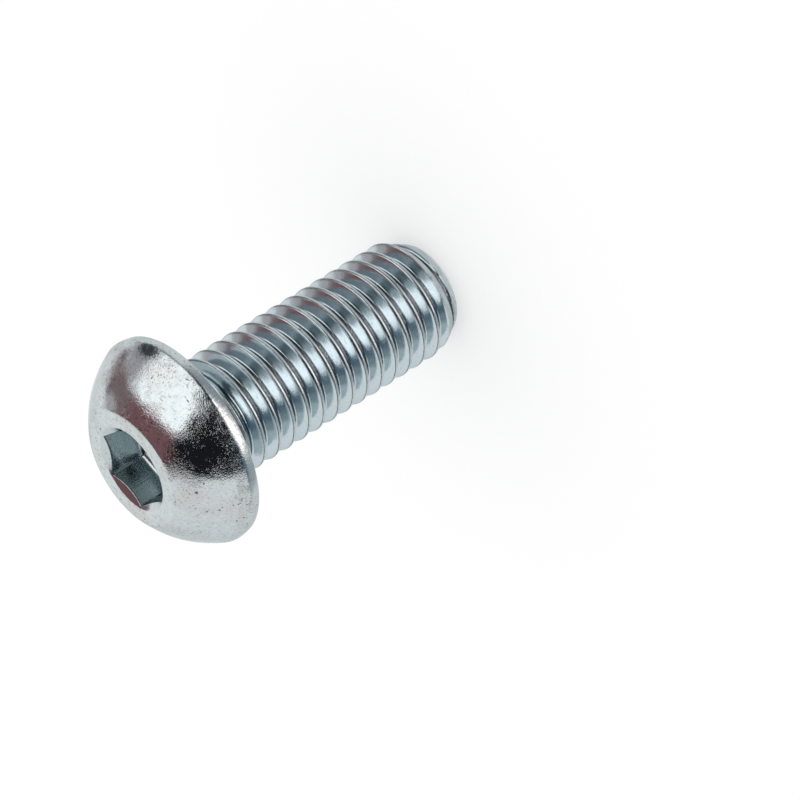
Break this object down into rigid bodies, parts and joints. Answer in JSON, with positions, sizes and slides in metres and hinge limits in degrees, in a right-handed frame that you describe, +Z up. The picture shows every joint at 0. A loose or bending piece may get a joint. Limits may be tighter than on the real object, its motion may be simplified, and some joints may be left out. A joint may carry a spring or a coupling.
{
  "type": "button head screw",
  "caption": "Low domed screw head with a flat top and a hexagon socket, on a short shank with a full right hand metric thread and a bevelled tip.",
  "frame": {"origin": "centre of the bearing face under the head, on the screw's axis", "axes": "+Z up along the screw's axis, from the end of the shank to the head; the screw stands on its end; +X is the side that the turn of the thread and of the hexagon is counted from"},
  "size_m": [0.0173, 0.0172, 0.03],
  "materials": {
    "zinc_plated_steel": "bright zinc plate with a clear blue passivation, smooth and glossy, grainy on the rim of the head"
  },
  "bodies": {
    "root": {"button_head_screw": "zinc_plated_steel"}
  },
  "joints": []
}
